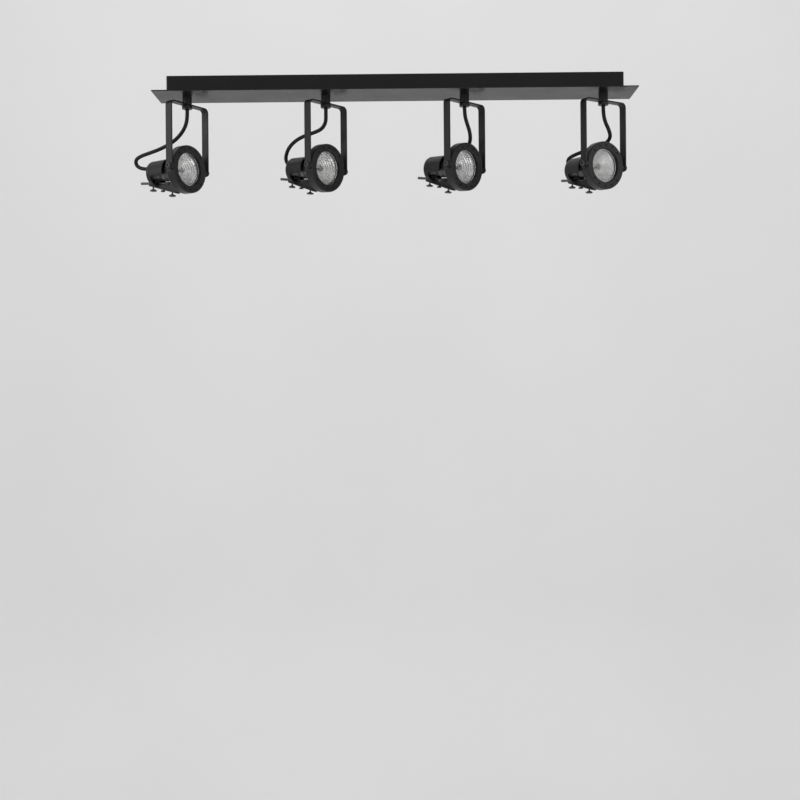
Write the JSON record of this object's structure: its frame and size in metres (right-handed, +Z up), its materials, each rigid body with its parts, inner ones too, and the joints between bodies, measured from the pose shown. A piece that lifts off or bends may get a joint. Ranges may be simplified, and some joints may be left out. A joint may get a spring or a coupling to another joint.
{
  "type": "track lighting fixture",
  "caption": "Black ceiling spotlight bar: flat cover plate with round spotlights in U-shaped yokes that pan and tilt, each with a front ring, slim rear housing and looping cable.",
  "frame": {"origin": "centre of the ceiling bracket's top face, on the ceiling plane", "axes": "+Z up into the ceiling, +X along the bar, -Y towards the front, which the lamps face at rest"},
  "size_m": [0.7439, 0.1176, 0.1699],
  "materials": {
    "black_paint": "semi-gloss black enamel",
    "black_satin": "satin black powder coat",
    "black_screw": "black-finished steel",
    "zinc_steel": "zinc-plated sheet",
    "terminal_plastic": "moulded natural polyamide",
    "brass_parts": "turned",
    "lead_insulation": "smooth",
    "bulb_aluminium": "cast satin",
    "lamp_glass": "clear",
    "dark_ceramic": "matt",
    "rod_steel": "blackened steel",
    "black_cable": "smooth matt sheath"
  },
  "bodies": {
    "base": {"ceiling_bracket": "zinc_steel", "canopy_box": "black_paint", "cover_plate": "black_paint", "cover_screws": "black_screw", "terminal_block": "terminal_plastic", "terminal_screws": "brass_parts", "stem_tubes": "brass_parts", "stem_nuts": "brass_parts", "stem_sleeves": "black_satin", "stem_collars": "black_satin", "inner_leads": "lead_insulation"},
    "yoke_1": {"yoke_1": "black_satin", "lamp_cable_1": "black_cable"},
    "head_1": {"front_ring_1": "black_satin", "pivot_screws_1": "black_screw", "lamp_bulb_1": "bulb_aluminium", "lamp_lens_1": "lamp_glass", "rear_housing_1": "black_satin", "lamp_socket_1": "dark_ceramic", "guide_rod_1": "rod_steel", "bottom_bracket_1": "black_satin"},
    "thumb_front_1": {"thumb_screw_front_1": "black_screw"},
    "thumb_rear_1": {"thumb_screw_rear_1": "black_screw"},
    "yoke_2": {"yoke_2": "black_satin", "lamp_cable_2": "black_cable"},
    "head_2": {"front_ring_2": "black_satin", "pivot_screws_2": "black_screw", "lamp_bulb_2": "bulb_aluminium", "lamp_lens_2": "lamp_glass", "rear_housing_2": "black_satin", "lamp_socket_2": "dark_ceramic", "guide_rod_2": "rod_steel", "bottom_bracket_2": "black_satin"},
    "thumb_front_2": {"thumb_screw_front_2": "black_screw"},
    "thumb_rear_2": {"thumb_screw_rear_2": "black_screw"},
    "yoke_3": {"yoke_3": "black_satin", "lamp_cable_3": "black_cable"},
    "head_3": {"front_ring_3": "black_satin", "pivot_screws_3": "black_screw", "lamp_bulb_3": "bulb_aluminium", "lamp_lens_3": "lamp_glass", "rear_housing_3": "black_satin", "lamp_socket_3": "dark_ceramic", "guide_rod_3": "rod_steel", "bottom_bracket_3": "black_satin"},
    "thumb_front_3": {"thumb_screw_front_3": "black_screw"},
    "thumb_rear_3": {"thumb_screw_rear_3": "black_screw"},
    "yoke_4": {"yoke_4": "black_satin", "lamp_cable_4": "black_cable"},
    "head_4": {"front_ring_4": "black_satin", "pivot_screws_4": "black_screw", "lamp_bulb_4": "bulb_aluminium", "lamp_lens_4": "lamp_glass", "rear_housing_4": "black_satin", "lamp_socket_4": "dark_ceramic", "guide_rod_4": "rod_steel", "bottom_bracket_4": "black_satin"},
    "thumb_front_4": {"thumb_screw_front_4": "black_screw"},
    "thumb_rear_4": {"thumb_screw_rear_4": "black_screw"}
  },
  "joints": [
    {"name": "pan_1", "type": "hinge", "parent": "base", "child": "yoke_1", "pos_m": [-0.3045, 0, -0.039], "axis": [0, 0, 1], "range_deg": [-227, 113]},
    {"name": "tilt_1", "type": "hinge", "parent": "yoke_1", "child": "head_1", "pos_m": [-0.3045, 0, -0.133], "axis": [0.5446, 0.8387, 0], "range_deg": [-45, 80], "deforming": ["lamp_cable_1"]},
    {"name": "thumb_front_turn_1", "type": "hinge", "parent": "head_1", "child": "thumb_front_1", "pos_m": [-0.3305, 0.01688, -0.158], "axis": [0, 0, 1], "range_deg": [0, 270]},
    {"name": "thumb_rear_turn_1", "type": "hinge", "parent": "head_1", "child": "thumb_rear_1", "pos_m": [-0.36279, 0.03785, -0.158], "axis": [0, 0, 1], "range_deg": [0, 270]},
    {"name": "pan_2", "type": "hinge", "parent": "base", "child": "yoke_2", "pos_m": [-0.1015, 0, -0.039], "axis": [0, 0, 1], "range_deg": [-220, 120]},
    {"name": "tilt_2", "type": "hinge", "parent": "yoke_2", "child": "head_2", "pos_m": [-0.1015, 0, -0.133], "axis": [0.6428, 0.766, 0], "range_deg": [-49, 76], "deforming": ["lamp_cable_2"]},
    {"name": "thumb_front_turn_2", "type": "hinge", "parent": "head_2", "child": "thumb_front_2", "pos_m": [-0.12652, 0.021, -0.15578], "axis": [0.0534, -0.0448, 0.9976], "range_deg": [0, 270]},
    {"name": "thumb_rear_turn_2", "type": "hinge", "parent": "head_2", "child": "thumb_rear_2", "pos_m": [-0.15595, 0.04569, -0.15309], "axis": [0.0534, -0.0448, 0.9976], "range_deg": [0, 270]},
    {"name": "pan_3", "type": "hinge", "parent": "base", "child": "yoke_3", "pos_m": [0.1015, 0, -0.039], "axis": [0, 0, 1], "range_deg": [-215.5, 124.5]},
    {"name": "tilt_3", "type": "hinge", "parent": "yoke_3", "child": "head_3", "pos_m": [0.1015, 0, -0.133], "axis": [0.7009, 0.7133, 0], "range_deg": [-49.5, 75.5], "deforming": ["lamp_cable_3"]},
    {"name": "thumb_front_turn_3", "type": "hinge", "parent": "head_3", "child": "thumb_front_3", "pos_m": [0.07806, 0.02304, -0.15549], "axis": [0.056, -0.055, 0.9969], "range_deg": [0, 270]},
    {"name": "thumb_rear_turn_3", "type": "hinge", "parent": "head_3", "child": "thumb_rear_3", "pos_m": [0.05068, 0.04994, -0.15247], "axis": [0.056, -0.055, 0.9969], "range_deg": [0, 270]},
    {"name": "pan_4", "type": "hinge", "parent": "base", "child": "yoke_4", "pos_m": [0.3045, 0, -0.039], "axis": [0, 0, 1], "range_deg": [-203, 137]},
    {"name": "tilt_4", "type": "hinge", "parent": "yoke_4", "child": "head_4", "pos_m": [0.3045, 0, -0.133], "axis": [0.8387, 0.5446, 0], "range_deg": [-47, 78], "deforming": ["lamp_cable_4"]},
    {"name": "thumb_front_turn_4", "type": "hinge", "parent": "head_4", "child": "thumb_front_4", "pos_m": [0.28715, 0.02671, -0.1569], "axis": [0.019, -0.0293, 0.9994], "range_deg": [0, 270]},
    {"name": "thumb_rear_turn_4", "type": "hinge", "parent": "head_4", "child": "thumb_rear_4", "pos_m": [0.2662, 0.05898, -0.15556], "axis": [0.019, -0.0293, 0.9994], "range_deg": [0, 270]}
  ]
}
